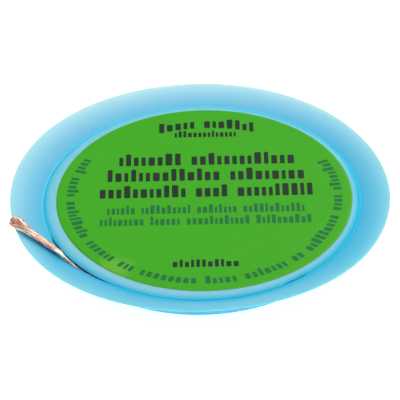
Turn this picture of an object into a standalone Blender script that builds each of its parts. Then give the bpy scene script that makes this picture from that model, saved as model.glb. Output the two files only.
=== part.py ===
"""Desoldering braid: a flat copper braid wound inside a flexible two-piece plastic spool.

The spool is a wide dish with a hub in its middle, closed by a stiff cap disc that carries a round label.
The braid lies as a flat coil round the hub. Its free end climbs the dish wall, comes up between the cap
and the dish, and lies over the dish's flange. Units are metres, +Z is up, and the spool lies on Z = 0
with its axis on Z. The front is -Y.
"""

import math

import bmesh
import bpy
from mathutils import Vector

# Braid
BRAID_WIDTH = 0.0022
BRAID_THICKNESS = 0.00045
BRAID_LENGTH = 1.5
TURN_SLACK = 0.00002
TURN_GROOVE_DEPTH = 0.00010

# Spool walls
FLOOR_THICKNESS = 0.00065
WALL_THICKNESS = 0.00065
CAP_THICKNESS = 0.00065
HUB_RADIUS = 0.0100
HUB_WALL = 0.0008
WALL_RUN = 0.00185
BOTTOM_EDGE_ROUND = 0.00025

# Flange of the dish
FLANGE_WIDTH = 0.0040
FLANGE_RISE = 0.00105
RIM_THICKNESS = 0.00030

# Cap
CAP_SHOULDER_RUN = 0.0012
CAP_SHOULDER_DROP = 0.00034
SPIGOT_LENGTH = 0.0018
SPIGOT_WALL = 0.0008

# Label
LABEL_THICKNESS = 0.0001
LABEL_MARGIN = 0.0013
LABEL_SHIFT = 0.00045

# Clearances
SEAT_GAP = 0.00010
GROOVE_GAP = 0.00020
BRAID_GAP = 0.00017
GLUE_GAP = 0.00003
LEAD_ROOM = 0.0005

# The flange is bent up a little at the front, and the braid pushes the dish off the cap at its exit.
RIM_LIFT = 0.00080
RIM_LIFT_ANGLE = math.radians(278)
RIM_LIFT_LEFT_SPAN = math.radians(75)
RIM_LIFT_RIGHT_SPAN = math.radians(55)
RIM_LIFT_POWER = 1.5
EXIT_PUSH = 0.00095
EXIT_PUSH_ANGLE = math.radians(216)
EXIT_PUSH_LEFT_SPAN = math.radians(40)
EXIT_PUSH_RIGHT_SPAN = math.radians(27)

# Free end of the braid
LEAD_START_ANGLE = math.radians(285)
ON_WALL_ANGLE = math.radians(252)
LEAVE_ANGLE = math.radians(231)
TAIL_STOP = 0.0003
TAIL_RAISE = 0.00015
TWIST_START = 0.44
TAIL_END_LEAN = math.radians(83)
ARC_POINTS = 24
STRAIGHT_POINTS = 22
REST_SAMPLES = 9

SEGMENTS = 96
COIL_SEGMENTS = 48
MERGE = 0.00001

# Radii, worked out from the hub outwards
braid_pitch = BRAID_THICKNESS + TURN_SLACK
coil_inner_radius = HUB_RADIUS + SEAT_GAP
coil_outer_radius = math.sqrt(coil_inner_radius**2 + BRAID_LENGTH * braid_pitch / math.pi)
foot_radius = coil_outer_radius + BRAID_THICKNESS + LEAD_ROOM
lip_radius = foot_radius + WALL_RUN
cap_radius = lip_radius - GROOVE_GAP
rim_radius = lip_radius + FLANGE_WIDTH
label_radius = cap_radius - LABEL_MARGIN
hub_inner_radius = HUB_RADIUS - HUB_WALL
spigot_radius = hub_inner_radius - SEAT_GAP

# Heights, worked out from the table upwards
floor_top = FLOOR_THICKNESS
coil_bottom = floor_top + SEAT_GAP
coil_top = coil_bottom + BRAID_WIDTH
cap_under = coil_top + SEAT_GAP
cap_top = cap_under + CAP_THICKNESS
cap_edge_height = cap_top - CAP_SHOULDER_DROP
hub_top = cap_under - SEAT_GAP
lip_height = cap_edge_height
rim_height = lip_height + FLANGE_RISE


def clamp(value):
    """The value held between 0 and 1."""
    return max(0.0, min(1.0, value))


def smooth(share):
    """A soft ramp from 0 to 1."""
    share = clamp(share)
    return share * share * (3 - 2 * share)


def blend(start, end, share):
    return start + (end - start) * share


def angle_between(angle, centre):
    """The signed turn from centre to angle, within half a turn."""
    return (angle - centre + math.pi) % (2 * math.pi) - math.pi


def exit_push(angle):
    """How far the braid pushes the dish's lip outwards at this angle: flat in the middle, soft at both ends."""
    turn = angle_between(angle, EXIT_PUSH_ANGLE)
    span = EXIT_PUSH_RIGHT_SPAN if turn > 0 else EXIT_PUSH_LEFT_SPAN
    share = clamp(abs(turn) / span)
    return EXIT_PUSH * (1 - share**4) ** 2


def rim_lift(angle):
    """How far the rim is bent up at this angle."""
    turn = angle_between(angle, RIM_LIFT_ANGLE)
    span = RIM_LIFT_RIGHT_SPAN if turn > 0 else RIM_LIFT_LEFT_SPAN
    return RIM_LIFT * (1 - clamp(abs(turn) / span) ** 2) ** 2


def deform_dish(point):
    """A point of the round dish, moved to where the bent dish has it."""
    radius = math.hypot(point.x, point.y)
    if radius < foot_radius:
        return point
    angle = math.atan2(point.y, point.x)
    climb = smooth((point.z - floor_top) / (lip_height - floor_top))
    outwards = clamp((radius - lip_radius) / FLANGE_WIDTH)
    push = exit_push(angle) * climb * (1 - outwards)
    grown = (radius + push) / radius
    lift = rim_lift(angle) * outwards**RIM_LIFT_POWER
    return Vector((point.x * grown, point.y * grown, point.z + lift))


def dish_height(radius, angle):
    """Height of the dish's upper side at this radius and angle, from the chamber's floor to the rim."""
    lip = lip_radius + exit_push(angle)
    if radius < lip:
        return blend(floor_top, lip_height, clamp((radius - foot_radius) / (lip - foot_radius)))
    share = (radius - lip) / (rim_radius - lip)
    return lip_height + FLANGE_RISE * share + rim_lift(angle) * clamp(share) ** RIM_LIFT_POWER


def add_material(obj, name, colour, roughness, metallic=0.0):
    material = bpy.data.materials.new(name)
    material.use_nodes = True
    shader = material.node_tree.nodes["Principled BSDF"]
    shader.inputs["Base Color"].default_value = (*colour, 1)
    shader.inputs["Roughness"].default_value = roughness
    shader.inputs["Metallic"].default_value = metallic
    obj.data.materials.append(material)


def turned(name, profile, collection, segments):
    """A turned solid: the profile, a list of (radius, height) that runs down its outer side, spun round Z."""
    mesh = bpy.data.meshes.new(name)
    edges = [(i, i + 1) for i in range(len(profile) - 1)]
    mesh.from_pydata([(radius, 0, height) for radius, height in profile], edges, [])
    obj = bpy.data.objects.new(name, mesh)
    collection.objects.link(obj)
    screw = obj.modifiers.new("Turn", "SCREW")
    screw.axis = "Z"
    screw.angle = 2 * math.pi
    screw.steps = segments
    screw.render_steps = segments
    screw.use_merge_vertices = True
    screw.merge_threshold = MERGE
    return obj


def arc(centre, radius, start, end, steps):
    """Points of an arc in the (radius, height) plane, with angles in degrees from +radius."""
    angles = [math.radians(blend(start, end, i / steps)) for i in range(steps + 1)]
    return [(centre[0] + radius * math.cos(a), centre[1] + radius * math.sin(a)) for a in angles]


def dish_profile():
    """Upper side from the axis to the rim, then the under side back to the axis."""
    inside = [
        (0, floor_top),
        (hub_inner_radius, floor_top),
        (hub_inner_radius, hub_top),
        (HUB_RADIUS, hub_top),
        (HUB_RADIUS, floor_top),
        (foot_radius, floor_top),
    ]
    wall = [
        (blend(foot_radius, lip_radius, share), blend(floor_top, lip_height, share))
        for share in (0.25, 0.5, 0.75, 1)
    ]
    top = [
        (blend(lip_radius, rim_radius, share), blend(lip_height, rim_height, share))
        for share in (0.2, 0.4, 0.6, 0.8)
    ]
    half_rim = RIM_THICKNESS / 2
    rim = arc((rim_radius - half_rim, rim_height - half_rim), half_rim, 90, -90, 6)
    run = lip_radius - foot_radius
    rise = lip_height - floor_top
    across = WALL_THICKNESS / math.hypot(run, rise)
    knee = (lip_radius + rise * across, lip_height - run * across)
    under_rim = (rim_radius - half_rim, rim_height - RIM_THICKNESS)
    under = [
        (blend(under_rim[0], knee[0], share), blend(under_rim[1], knee[1], share))
        for share in (0.25, 0.5, 0.75, 1)
    ]
    bottom_radius = foot_radius + WALL_THICKNESS
    outer = [
        (blend(knee[0], bottom_radius, share), blend(knee[1], BOTTOM_EDGE_ROUND, share))
        for share in (0.33, 0.67)
    ]
    corner = arc(
        (bottom_radius - BOTTOM_EDGE_ROUND, BOTTOM_EDGE_ROUND), BOTTOM_EDGE_ROUND, 0, -90, 4
    )
    return inside + wall + top + rim + under + outer + corner + [(0, 0)]


def build_dish(collection):
    turned_dish = turned("turned_dish", dish_profile(), collection, SEGMENTS)
    graph = bpy.context.evaluated_depsgraph_get()
    mesh = bpy.data.meshes.new_from_object(turned_dish.evaluated_get(graph))
    bpy.data.objects.remove(turned_dish)
    for vertex in mesh.vertices:
        vertex.co = deform_dish(vertex.co)
    dish = bpy.data.objects.new("spool_dish", mesh)
    collection.objects.link(dish)
    add_material(dish, "blue_plastic", (0.12, 0.55, 0.80), 0.35)
    return dish


def build_cap(collection):
    """The cap disc with its sloped shoulder and the spigot that plugs into the hub."""
    flat_radius = cap_radius - CAP_SHOULDER_RUN
    shoulder = [
        (
            flat_radius + CAP_SHOULDER_RUN * math.sin(math.pi / 2 * share),
            cap_edge_height + CAP_SHOULDER_DROP * math.cos(math.pi / 2 * share) ** 1.5,
        )
        for share in (0.2, 0.4, 0.6, 0.8, 1)
    ]
    edge_lean = (cap_edge_height - cap_under) * WALL_RUN / (lip_height - floor_top)
    spigot_bottom = cap_under - SPIGOT_LENGTH
    profile = [
        (0, cap_top),
        (flat_radius, cap_top),
        *shoulder,
        (cap_radius - edge_lean, cap_under),
        (spigot_radius, cap_under),
        (spigot_radius, spigot_bottom),
        (spigot_radius - SPIGOT_WALL, spigot_bottom),
        (spigot_radius - SPIGOT_WALL, cap_under),
        (0, cap_under),
    ]
    cap = turned("cap_disc", profile, collection, SEGMENTS)
    add_material(cap, "pale_blue_plastic", (0.18, 0.60, 0.82), 0.35)
    return cap


def build_label(collection):
    """The round label, stuck on the cap a little off its centre."""
    mesh = bpy.data.meshes.new("label")
    shape = bmesh.new()
    bmesh.ops.create_cone(
        shape,
        cap_ends=True,
        segments=SEGMENTS,
        radius1=label_radius,
        radius2=label_radius,
        depth=LABEL_THICKNESS,
    )
    shape.to_mesh(mesh)
    shape.free()
    label = bpy.data.objects.new("label", mesh)
    label.location = (LABEL_SHIFT, 0, cap_top + GLUE_GAP + LABEL_THICKNESS / 2)
    collection.objects.link(label)
    add_material(label, "green_label", (0.07, 0.42, 0.03), 0.4)
    return label


def build_coil(collection):
    """The wound braid as one turned ring, with a shallow groove between neighbouring turns on both ends."""
    turns = max(1, round((coil_outer_radius - coil_inner_radius) / braid_pitch))
    pitch = (coil_outer_radius - coil_inner_radius) / turns
    top = [(coil_inner_radius, coil_top - TURN_GROOVE_DEPTH)]
    for turn in range(turns):
        middle = coil_inner_radius + (turn + 0.5) * pitch
        top.append((middle, coil_top))
        top.append((middle + pitch / 2, coil_top - TURN_GROOVE_DEPTH))
    bottom = [(radius, coil_bottom + coil_top - height) for radius, height in reversed(top)]
    coil = turned("braid_coil", top + bottom + top[:1], collection, COIL_SEGMENTS)
    add_material(coil, "copper_braid", (0.80, 0.38, 0.24), 0.35, 1.0)
    return coil


def clearance_over(radius):
    """The gap that the braid keeps over the dish: the coil's on the floor, and its own past that."""
    return SEAT_GAP if radius < foot_radius else BRAID_GAP


def rest_on_dish(across, along, lean):
    """Height of the braid's middle line when its under side just clears the dish.

    across is the distance from the axis, square to the braid, and along is the distance past the point
    where the braid leaves the cap's edge. lean is the braid's tilt from upright.
    """
    height = 0.0
    for i in range(REST_SAMPLES):
        reach = BRAID_WIDTH * (i / (REST_SAMPLES - 1) - 0.5)
        side = across + reach * math.sin(lean) + BRAID_THICKNESS / 2 * math.cos(lean)
        drop = reach * math.cos(lean) - BRAID_THICKNESS / 2 * math.sin(lean)
        angle = LEAVE_ANGLE - math.atan2(along, side)
        height = max(height, dish_height(math.hypot(side, along), angle) + BRAID_GAP - drop)
    return height


def rest_in_dish(radius, angle, lean):
    """As rest_on_dish, for the part of the braid that still runs round the axis."""
    height = 0.0
    for i in range(REST_SAMPLES):
        reach = BRAID_WIDTH * (i / (REST_SAMPLES - 1) - 0.5)
        side = radius + reach * math.sin(lean) + BRAID_THICKNESS / 2 * math.cos(lean)
        drop = reach * math.cos(lean) - BRAID_THICKNESS / 2 * math.sin(lean)
        height = max(height, dish_height(side, angle) + clearance_over(side) - drop)
    return height


def wall_lean(angle):
    """How far the dish's wall leans from upright at this angle."""
    return math.atan2(WALL_RUN + exit_push(angle), lip_height - floor_top)


def on_wall(lean):
    """Distance from the axis to the middle of the braid when it stands in the wall's foot at this lean."""
    return foot_radius + BRAID_WIDTH / 2 * math.sin(lean) - BRAID_THICKNESS / 4


def tail_stations():
    """(place, lean) along the free end: beside the coil, out on the wall, then straight up over the flange."""
    beside_coil = coil_outer_radius + BRAID_GAP + BRAID_THICKNESS / 2
    stations = []
    for i in range(ARC_POINTS + 1):
        angle = blend(LEAD_START_ANGLE, LEAVE_ANGLE, i / ARC_POINTS)
        leaning = smooth((LEAD_START_ANGLE - angle) / (LEAD_START_ANGLE - ON_WALL_ANGLE))
        lean = wall_lean(angle) * leaning
        radius = blend(beside_coil, on_wall(lean), leaning)
        height = rest_in_dish(radius, angle, lean)
        stations.append(
            (Vector((radius * math.cos(angle), radius * math.sin(angle), height)), lean)
        )
    first_lean = wall_lean(LEAVE_ANGLE)
    across = on_wall(first_lean)
    outwards = Vector((math.cos(LEAVE_ANGLE), math.sin(LEAVE_ANGLE), 0))
    onwards = Vector((math.sin(LEAVE_ANGLE), -math.cos(LEAVE_ANGLE), 0))
    length = math.sqrt(rim_radius**2 - across**2) - TAIL_STOP
    for i in range(1, STRAIGHT_POINTS + 1):
        share = i / STRAIGHT_POINTS
        twisting = clamp((share - TWIST_START) / (1 - TWIST_START))
        lean = blend(first_lean, TAIL_END_LEAN, twisting)
        height = rest_on_dish(across, length * share, lean) + TAIL_RAISE * smooth(share)
        place = outwards * across + onwards * length * share + Vector((0, 0, height))
        stations.append((place, lean))
    return stations


def build_tail(collection, helpers):
    """The free end: a flat section swept along its route and tilted from upright to flat."""
    section = bpy.data.curves.new("braid_section", "CURVE")
    section.dimensions = "2D"
    outline = section.splines.new("POLY")
    half_thickness, half_width = BRAID_THICKNESS / 2, BRAID_WIDTH / 2
    corners = [(-1, -1), (-1, 1), (1, 1), (1, -1)]
    outline.points.add(len(corners) - 1)
    for point, (x, y) in zip(outline.points, corners):
        point.co = (x * half_thickness, y * half_width, 0, 1)
    outline.use_cyclic_u = True
    section_object = bpy.data.objects.new("braid_section", section)
    section_object.hide_render = True
    section_object.display_type = "WIRE"
    helpers.objects.link(section_object)

    route = bpy.data.curves.new("braid_tail", "CURVE")
    route.dimensions = "3D"
    route.twist_mode = "Z_UP"
    route.bevel_mode = "OBJECT"
    route.bevel_object = section_object
    route.use_fill_caps = True
    line = route.splines.new("POLY")
    stations = tail_stations()
    line.points.add(len(stations) - 1)
    for point, (place, lean) in zip(line.points, stations):
        point.co = (*place, 1)
        point.tilt = -lean
    tail = bpy.data.objects.new("braid_tail", route)
    collection.objects.link(tail)
    add_material(tail, "copper_braid_end", (0.86, 0.45, 0.30), 0.3, 1.0)
    return tail


def main():
    for obj in list(bpy.data.objects):
        bpy.data.objects.remove(obj)
    parts = bpy.data.collections.new("desoldering_braid")
    helpers = bpy.data.collections.new("helpers")
    bpy.context.scene.collection.children.link(parts)
    bpy.context.scene.collection.children.link(helpers)
    build_dish(parts)
    build_cap(parts)
    build_label(parts)
    build_coil(parts)
    build_tail(parts, helpers)


main()
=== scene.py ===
"""Desoldering braid spool: the dressed model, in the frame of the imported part.

A wide translucent dish is closed by a cap disc with a round label. The braid is wound inside, and its free
end comes up between the cap and the dish and lies over the dish's flange. Units are metres and +Z is up.
"""

import logging
import math
from dataclasses import dataclass, field
from enum import Enum
from typing import Any, Optional, Union

import bpy
import numpy as np
from mathutils import Matrix, Vector


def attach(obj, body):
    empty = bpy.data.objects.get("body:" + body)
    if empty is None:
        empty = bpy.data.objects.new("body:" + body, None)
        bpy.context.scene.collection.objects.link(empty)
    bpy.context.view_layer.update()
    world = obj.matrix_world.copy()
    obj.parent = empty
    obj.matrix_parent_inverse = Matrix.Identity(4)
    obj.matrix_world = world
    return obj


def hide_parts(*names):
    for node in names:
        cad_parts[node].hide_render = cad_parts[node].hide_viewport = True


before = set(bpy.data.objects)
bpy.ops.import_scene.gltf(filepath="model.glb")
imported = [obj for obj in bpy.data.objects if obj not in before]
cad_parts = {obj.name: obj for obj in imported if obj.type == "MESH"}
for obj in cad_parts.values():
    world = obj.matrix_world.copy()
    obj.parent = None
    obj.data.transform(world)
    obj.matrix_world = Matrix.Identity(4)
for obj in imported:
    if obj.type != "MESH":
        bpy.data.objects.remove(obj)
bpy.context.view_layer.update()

log = logging.getLogger("spool")
Number = Union[int, float]
MM = 0.001


# Small sums


def blend(start: Any, end: Any, share: Any) -> Any:
    """The straight mix from start to end."""
    return start + (end - start) * share


def clamp(value: Any) -> Any:
    """The value held between 0 and 1."""
    return np.clip(value, 0.0, 1.0)


def smooth(share: Any) -> Any:
    """The soft ramp 3s^2 - 2s^3 of the clamped share."""
    held = clamp(share)
    return held * held * (3 - 2 * held)


def turn_from(angle: Any, centre: float) -> Any:
    """The signed turn from centre to angle, within half a turn."""
    return (angle - centre + math.pi) % (2 * math.pi) - math.pi


def swell(angle: Any, centre: float, left: float, right: Optional[float] = None) -> Any:
    """A soft hill round centre: (1 - share^2)^2, where share is the turn over the span on that side.

    Args:
        angle: Bearings at which the hill is read.
        centre: Bearing of its top.
        left: Span on the side of smaller bearings.
        right: Span on the other side, or none if both are the same.

    Returns:
        The hill's height there, from 0 to 1.
    """
    turn = turn_from(angle, centre)
    share = clamp(np.abs(turn) / np.where(turn > 0, left if right is None else right, left))
    return (1 - share**2) ** 2


# Surfaces


@dataclass
class Surface:
    """A mesh in the making: corner places, four-sided and three-sided faces, and values per corner.

    Attributes:
        places: Corner places, one row of x, y, z each.
        quads: Four corner numbers a face.
        triangles: Three corner numbers a face.
        tones: Named values, one number a corner.
        flat: True where every face is shaded flat.
    """

    places: np.ndarray
    quads: np.ndarray = field(default_factory=lambda: np.zeros((0, 4), int))
    triangles: np.ndarray = field(default_factory=lambda: np.zeros((0, 3), int))
    tones: dict[str, np.ndarray] = field(default_factory=dict)
    flat: bool = False

    @staticmethod
    def joined(parts: list["Surface"]) -> "Surface":
        """All the parts as one surface, with their corner numbers moved up.

        Args:
            parts: Surfaces that all have the same tones.

        Returns:
            The one surface.
        """
        starts = np.cumsum([0] + [len(part.places) for part in parts[:-1]])
        return Surface(
            np.concatenate([part.places for part in parts]),
            np.concatenate([part.quads + start for part, start in zip(parts, starts)]),
            np.concatenate([part.triangles + start for part, start in zip(parts, starts)]),
            {
                name: np.concatenate([part.tones[name] for part in parts])
                for name in parts[0].tones
            },
        )

    def all_triangles(self) -> np.ndarray:
        """Every face as triangles, each quad cut along its first diagonal."""
        halves = np.concatenate([self.quads[:, [0, 1, 2]], self.quads[:, [0, 2, 3]]])
        return np.concatenate([halves, self.triangles])

    def volume(self) -> float:
        """A sixth of the sum over triangles of a . (b x c), positive where faces point outwards."""
        a, b, c = (self.places[self.all_triangles()[:, i]] for i in range(3))
        return float(np.einsum("ij,ij->i", a, np.cross(b, c)).sum() / 6)

    def outwards(self) -> "Surface":
        """Turns every face round if the whole is inside out.

        Returns:
            The same surface.
        """
        if self.volume() < 0:
            self.quads = self.quads[:, ::-1]
            self.triangles = self.triangles[:, ::-1]
        return self

    def to_object(self, name: str) -> bpy.types.Object:
        """The surface as a smooth-shaded mesh object at the origin.

        Args:
            name: Name of the new object.

        Returns:
            The object, linked to the scene.
        """
        mesh = bpy.data.meshes.new(name)
        corners = np.concatenate([self.quads.ravel(), self.triangles.ravel()]).astype(np.int32)
        quad_starts = np.arange(len(self.quads)) * 4
        triangle_starts = self.quads.size + np.arange(len(self.triangles)) * 3
        starts = np.concatenate([quad_starts, triangle_starts]).astype(np.int32)
        mesh.vertices.add(len(self.places))
        mesh.vertices.foreach_set("co", self.places.astype(np.float32).ravel())
        mesh.loops.add(len(corners))
        mesh.loops.foreach_set("vertex_index", corners)
        mesh.polygons.add(len(starts))
        mesh.polygons.foreach_set("loop_start", starts)
        for tone, values in self.tones.items():
            layer = mesh.attributes.new(tone, "FLOAT", "POINT")
            layer.data.foreach_set("value", values.astype(np.float32))
        mesh.update(calc_edges=True)
        mesh.validate()
        mesh.polygons.foreach_set("use_smooth", np.full(len(mesh.polygons), not self.flat))
        obj = bpy.data.objects.new(name, mesh)
        bpy.context.scene.collection.objects.link(obj)
        return obj


def rounded_outline(corners: np.ndarray, rounds: np.ndarray, arc_points: int, runs: int) -> np.ndarray:
    """An open outline with rounded corners and a point close to both ends of each straight run.

    At a corner P with unit directions d and e to its neighbours, the arc's centre lies on their bisector at
    radius / sin(half the angle), and the arc is the circular blend of its two end spokes.

    Args:
        corners: Corner points, one row each.
        rounds: Rounding radius at each corner, 0 for none.
        arc_points: Points on each rounded corner.
        runs: Points between two corners.

    Returns:
        The points of the outline in order.
    """
    inner = corners[1:-1]
    back = corners[:-2] - inner
    ahead = corners[2:] - inner
    back /= np.linalg.norm(back, axis=1)[:, None]
    ahead /= np.linalg.norm(ahead, axis=1)[:, None]
    half = np.arccos(np.clip((back * ahead).sum(1), -1, 1)) / 2
    radius = np.maximum(rounds[1:-1], 1e-7)
    reach = (radius / np.tan(half))[:, None]
    bisector = back + ahead
    bisector /= np.maximum(np.linalg.norm(bisector, axis=1), 1e-9)[:, None]
    centre = inner + bisector * (radius / np.sin(half))[:, None]
    first, last = inner + back * reach - centre, inner + ahead * reach - centre
    opening = np.maximum(math.pi - 2 * half, 1e-6)[:, None, None]
    share = np.linspace(0, 1, arc_points)[None, :, None]
    arcs = centre[:, None] + (
        np.sin((1 - share) * opening) * first[:, None] + np.sin(share * opening) * last[:, None]
    ) / np.sin(opening)
    leave = np.concatenate([corners[:1], arcs[:, -1]])
    arrive = np.concatenate([arcs[:, 0], corners[-1:]])
    along = np.concatenate([[0.03], np.linspace(0.03, 0.97, runs)[1:-1], [0.97]])[None, :, None]
    straight = blend(leave[:, None], arrive[:, None], along)
    blocks = np.concatenate([arcs, straight[1:]], axis=1).reshape(-1, 2)
    return np.concatenate([corners[:1], straight[0], blocks, corners[-1:]])


def turned(outline: np.ndarray, segments: int) -> Surface:
    """A turned solid from an outline that starts and ends on the axis.

    Corner (i, j) is (r_i cos a_j, r_i sin a_j, z_i), and each end is one corner closed by a fan.

    Args:
        outline: Rows of radius and height from the axis round to the axis.
        segments: Steps round the axis.

    Returns:
        The closed surface.
    """
    angles = np.arange(segments) * 2 * math.pi / segments
    radius, height = outline[1:-1, 0][:, None], outline[1:-1, 1][:, None]
    ring = np.stack([radius * np.cos(angles), radius * np.sin(angles), height + 0 * angles], -1)
    places = np.concatenate([[[0, 0, outline[0, 1]]], ring.reshape(-1, 3), [[0, 0, outline[-1, 1]]]])
    row, step = np.meshgrid(np.arange(len(outline) - 3), np.arange(segments), indexing="ij")
    a = 1 + row * segments + step
    b = 1 + row * segments + (step + 1) % segments
    quads = np.stack([a, b, b + segments, a + segments], -1).reshape(-1, 4)
    here, there = np.arange(segments), (np.arange(segments) + 1) % segments
    end = len(places) - 1
    start_fan = np.stack([np.zeros(segments, int), there + 1, here + 1], -1)
    end_fan = np.stack([np.full(segments, end), end - segments + here, end - segments + there], -1)
    return Surface(places, quads, np.concatenate([start_fan, end_fan])).outwards()


def tube(path: np.ndarray, across: np.ndarray, upwards: np.ndarray, section: np.ndarray) -> Surface:
    """A closed tube: corner (i, j) is path_i + across_i * section_x_j + upwards_i * section_y_j.

    Args:
        path: Middle line, one row a station.
        across: First direction of the section at each station.
        upwards: Second direction of the section at each station.
        section: Closed outline, rows of x and y, or one such outline a station.

    Returns:
        The tube, with a fan of faces from a middle corner at each end.
    """
    outlines = np.broadcast_to(section, (len(path), *section.shape[-2:]))
    sides = outlines.shape[1]
    rings = path[:, None] + across[:, None] * outlines[..., :1] + upwards[:, None] * outlines[..., 1:]
    places = np.concatenate([rings.reshape(-1, 3), path[:1], path[-1:]])
    row, side = np.meshgrid(np.arange(len(path) - 1), np.arange(sides), indexing="ij")
    a, b = row * sides + side, row * sides + (side + 1) % sides
    quads = np.stack([a, b, b + sides, a + sides], -1).reshape(-1, 4)
    here, there = np.arange(sides), (np.arange(sides) + 1) % sides
    last = (len(path) - 1) * sides
    start_fan = np.stack([there, here, np.full(sides, len(places) - 2)], -1)
    end_fan = np.stack([last + here, last + there, np.full(sides, len(places) - 1)], -1)
    return Surface(places, quads, np.concatenate([start_fan, end_fan])).outwards()


def threaded(rows: np.ndarray, where: np.ndarray) -> np.ndarray:
    """Rows read on the natural cubic curve through the given rows, which stand at 0, 1, 2 and so on.

    The second slopes M solve M_i + 4 M_(i+1) + M_(i+2) = 6 (y_i - 2 y_(i+1) + y_(i+2)), 0 at the ends.

    Args:
        rows: The rows that the curve passes through.
        where: Places along the curve, from 0 to the last row's number.

    Returns:
        One row a place.
    """
    count = len(rows)
    system = 4 * np.eye(count) + np.eye(count, k=1) + np.eye(count, k=-1)
    system[[0, -1]] = np.eye(count)[[0, -1]]
    bends = np.zeros_like(rows)
    bends[1:-1] = 6 * (rows[:-2] - 2 * rows[1:-1] + rows[2:])
    bends = np.linalg.solve(system, bends)
    low = np.minimum(where.astype(int), count - 2)
    after = (where - low)[:, None]
    before = 1 - after
    straight = before * rows[low] + after * rows[low + 1]
    return straight + ((before**3 - before) * bends[low] + (after**3 - after) * bends[low + 1]) / 6


# Materials


@dataclass
class Signal:
    """One output of a node, with arithmetic that adds Math nodes to its material."""

    material: "Material"
    socket: bpy.types.NodeSocket

    def __add__(self, other: "Feed") -> "Signal":
        """Sum."""
        return self.material.maths("ADD", self, other)

    def __sub__(self, other: "Feed") -> "Signal":
        """Difference."""
        return self.material.maths("SUBTRACT", self, other)

    def __rsub__(self, other: "Feed") -> "Signal":
        """Difference, the other way round."""
        return self.material.maths("SUBTRACT", other, self)

    def __mul__(self, other: "Feed") -> "Signal":
        """Product."""
        return self.material.maths("MULTIPLY", self, other)

    def __truediv__(self, other: "Feed") -> "Signal":
        """Quotient."""
        return self.material.maths("DIVIDE", self, other)

    def __rtruediv__(self, other: "Feed") -> "Signal":
        """Quotient, the other way round."""
        return self.material.maths("DIVIDE", other, self)

    def __pow__(self, other: "Feed") -> "Signal":
        """Power."""
        return self.material.maths("POWER", self, other)

    __radd__ = __add__
    __rmul__ = __mul__

    def sine(self) -> "Signal":
        """Sine of the value in radians."""
        return self.material.maths("SINE", self)

    def size(self) -> "Signal":
        """The value without its sign."""
        return self.material.maths("ABSOLUTE", self)

    def ramp(self, low: float, high: float) -> "Signal":
        """A soft step, which rises from low to high, or falls where low is above high.

        Args:
            low: Value at which the step is 0.
            high: Value at which it is 1.

        Returns:
            The step, from 0 to 1.
        """
        if low > high:
            return 1.0 - self.ramp(high, low)
        return self.material.node(
            "ShaderNodeMapRange",
            {"interpolation_type": "SMOOTHSTEP"},
            {"Value": self, "From Min": low, "From Max": high},
        )


Feed = Union[Number, Signal]
Colour = tuple[float, float, float]


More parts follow.
